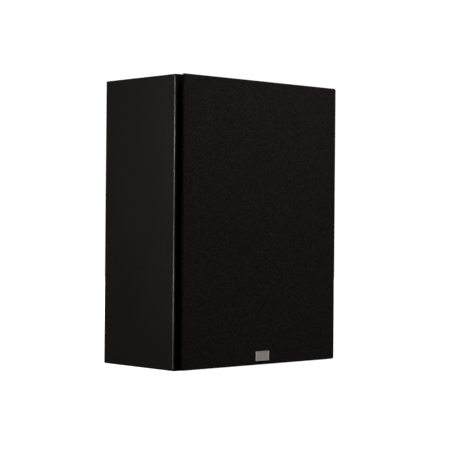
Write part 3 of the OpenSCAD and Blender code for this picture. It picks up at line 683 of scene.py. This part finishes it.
def half_roll_outline(mid, r, t, base, lip_in, lip_out, lip_t, n=20):
    """Outline of a surround: inner lip, roll towards the front, outer lip, in (radius, depth)."""
    top = [(lip_in, base - lip_t), (mid - r - 0.38, base - lip_t)]
    top += arc(mid, base - 0.15, r, 180, 360, n)[1:-1]
    top += [(mid + r + 0.38, base - lip_t), (lip_out, base - lip_t)]
    under = [(lip_out, base), (mid + r - t + 0.1, base)]
    under += arc(mid, base - 0.15, r - t, 360, 180, n)[1:-1]
    under += [(mid - r + t - 0.1, base), (lip_in, base)]
    return top + under


def woofer_surround():
    outline = half_roll_outline(60.4, 5.0, 0.8, 2.2, 51.0, 72.0, 0.8, 24)
    obj = revolve("woofer_surround_roll", outline, woofer, "rubber", 160)
    merge_close(obj, 1e-7)
    radial_blend(obj)
    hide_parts("woofer_surround")


def woofer_spider():
    def wave(r):
        return 33.75 + 1.1 * math.sin(2 * math.pi * 5 * (r - 18) / 23)
    radii = [18 + 23 * i / 60 for i in range(61)]
    front = [(16.0, 33.5)] + [(r, wave(r) - 0.22) for r in radii] + [(42, 34.0), (46, 34.0)]
    back = [(46, 34.5), (41.6, 34.5)] + [(r, wave(r) + 0.22) for r in reversed(radii)] + [(16.0, 34.0)]
    obj = revolve("woofer_spider_cloth", front + back, woofer, "spider", 128)
    merge_close(obj, 1e-7)
    radial_blend(obj)
    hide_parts("woofer_spider")


def tweeter_surround():
    outline = half_roll_outline(15.7, 1.9, 0.3, 4.3, 12.9, 21.0, 0.3, 16)
    obj = revolve("tweeter_surround_roll", outline, tweeter, "silk", 128)
    merge_close(obj, 1e-7)
    radial_blend(obj)
    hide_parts("tweeter_surround")


def tube(name, path, radius, material, sides=12, steps=6):
    """A round lead through the given points in mm, smoothed."""
    pts = [Vector(p) * MM for p in path]
    line = []
    for i in range(len(pts) - 1):
        a, b, c, d = pts[max(i - 1, 0)], pts[i], pts[i + 1], pts[min(i + 2, len(pts) - 1)]
        for j in range(steps):
            t = j / steps
            square, cube = 2 * a - 5 * b + 4 * c - d, 3 * b - a - 3 * c + d
            line.append(0.5 * (2 * b + (c - a) * t + square * t * t + cube * t ** 3))
    line.append(pts[-1])
    points, faces = [], []
    n = len(line)
    for i, p in enumerate(line):
        t = (line[min(i + 1, n - 1)] - line[max(i - 1, 0)]).normalized()
        u = t.cross(Vector((0.31, 0.87, 0.13))).normalized()
        v = t.cross(u)
        for k in range(sides):
            a = 2 * math.pi * k / sides
            points.append(p + radius * MM * (math.cos(a) * u + math.sin(a) * v))
    for i in range(n - 1):
        for k in range(sides):
            k2 = (k + 1) % sides
            faces.append((i * sides + k, (i + 1) * sides + k, (i + 1) * sides + k2, i * sides + k2))
    faces.append(tuple(range(sides)))
    faces.append(tuple(reversed(range((n - 1) * sides, n * sides))))
    obj = new_object(name, points, faces, material)
    merge_close(obj, 1e-8)
    return obj


# the cone's land and depth in mm, how far down it the leads start, and their room behind it
LAND_D, CONE_DEPTH, LEAD_SHARE, LEAD_ROOM = 2.2, 23, 0.59, 2.7


def tinsel_leads():
    """Two braided leads with slack, from the cone's solder spots to the terminal rivets."""
    start = LAND_D + CONE_DEPTH * LEAD_SHARE + LEAD_ROOM
    for s, side in ((-1, "left"), (1, "right")):
        local = [(s * 14, 26, start), (s * 14, 26, start + 2), (s * 14.5, 31, 25), (s * 15, 40, 29),
                 (s * 15, 50, 28.5), (s * 14.5, 58, 28.5), (s * 12.5, 61.5, 31), (s * 11.5, 62, 33),
                 (s * 11.5, 62, 35.7)]
        path = [(woofer[0] / MM + x, woofer[1] / MM + d, woofer[2] / MM - y) for x, y, d in local]
        obj = tube("woofer_tinsel_" + side, path, 0.6, "braid")
        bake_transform(obj)
    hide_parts("woofer_tinsel_leads")


PAD_NY, PAD_NZ = 30, 54
PAD_ROUND, PAD_PULL, PAD_LUMPS = 0.16, 0.004, 0.0022


def pad_waves(seed):
    """Nine random waves that make one pad lumpy."""
    rng = random.Random(seed)
    return [(rng.uniform(20, 90), rng.uniform(20, 90), rng.uniform(0, 6.28), rng.uniform(0.4, 1.0))
            for _ in range(9)]


def pad_rim():
    """The pad's outer grid places in order, round all four sides."""
    ny, nz = PAD_NY, PAD_NZ
    rim = [(j, 0) for j in range(ny)] + [(ny, k) for k in range(nz)]
    return rim + [(j, nz) for j in range(ny, 0, -1)] + [(0, k) for k in range(nz, 0, -1)]


def wadding_pad(side, inward, seed):
    """A slab of loose polyester wadding glued to a side wall."""
    low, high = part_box("wadding_" + side)
    size = high - low
    wall = low.x if side == "left" else high.x
    ny, nz = PAD_NY, PAD_NZ
    waves = pad_waves(seed)
    points, faces, top, base = [], [], {}, {}
    for j in range(ny + 1):
        for k in range(nz + 1):
            u, v = j / ny, k / nz
            edge = min(u, 1 - u, v * size.z / size.y, (1 - v) * size.z / size.y)
            crown = min(1.0, edge / PAD_ROUND)
            crown = math.sqrt(max(0.0, 1 - (1 - crown) ** 2))
            y, z = low.y + size.y * u, low.z + size.z * v
            lumps = sum(a * math.sin(p * 2.2 * y + q * 2.2 * z + f) for p, q, f, a in waves) / 9
            depth = size.x * (0.16 + 0.76 * crown) + PAD_LUMPS * lumps * crown
            pull = PAD_PULL * (1 - crown)
            y += pull * (1 if u < 0.5 else -1) * (1 if 0 < j < ny else 0.4)
            top[j, k] = len(points)
            points.append((wall + inward * depth, y, z))
    for j in range(ny + 1):
        for k in range(nz + 1):
            if j in (0, ny) or k in (0, nz):
                base[j, k] = len(points)
                x, y, z = points[top[j, k]]
                points.append((wall + inward * 0.0002, y, z))
    for j in range(ny):
        for k in range(nz):
            faces.append((top[j, k], top[j + 1, k], top[j + 1, k + 1], top[j, k + 1]))
    rim = pad_rim()
    for a, b in zip(rim, rim[1:] + rim[:1]):
        faces.append((top[a], top[b], base[b], base[a]))
    faces.append(tuple(base[r] for r in rim))
    obj = new_object("wadding_pad_" + side, points, faces, "wadding")
    merge_close(obj, 1e-7)
    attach(obj, "cabinet")
    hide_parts("wadding_" + side)


camera()
make_materials()
studio()
dress_cad()
grille_cloth()
woofer_surround()
woofer_spider()
tweeter_surround()
tinsel_leads()
wadding_pad("left", 1, 11)
wadding_pad("right", -1, 12)
